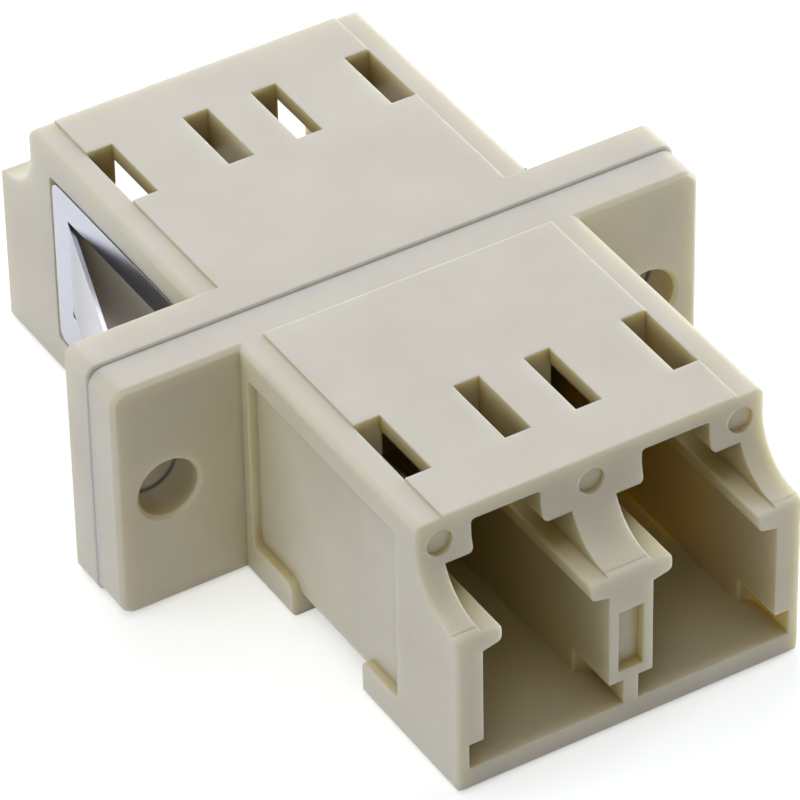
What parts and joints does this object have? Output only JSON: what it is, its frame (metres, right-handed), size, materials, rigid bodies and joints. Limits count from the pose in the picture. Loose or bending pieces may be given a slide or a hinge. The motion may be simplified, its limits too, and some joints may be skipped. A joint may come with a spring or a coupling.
{
  "type": "lc fibre adapter",
  "caption": "Beige duplex LC fibre adapter with a full screw flange, open latch windows, side clip seats and a bright steel panel clip on the rear half.",
  "frame": {"origin": "middle of the underside, on the weld plane between the two shells", "axes": "+X along the flange, -Y towards the front ports, +Y towards the rear ports with the clip, +Z towards the latch side"},
  "size_m": [0.022, 0.0288, 0.0092],
  "materials": {
    "shell_plastic": "satin",
    "sleeve_ceramic": "polished",
    "clip_steel": "bright"
  },
  "bodies": {
    "root": {"front_shell": "shell_plastic", "rear_shell": "shell_plastic", "left_sleeve": "sleeve_ceramic", "right_sleeve": "sleeve_ceramic", "panel_clip": "clip_steel"}
  },
  "joints": []
}
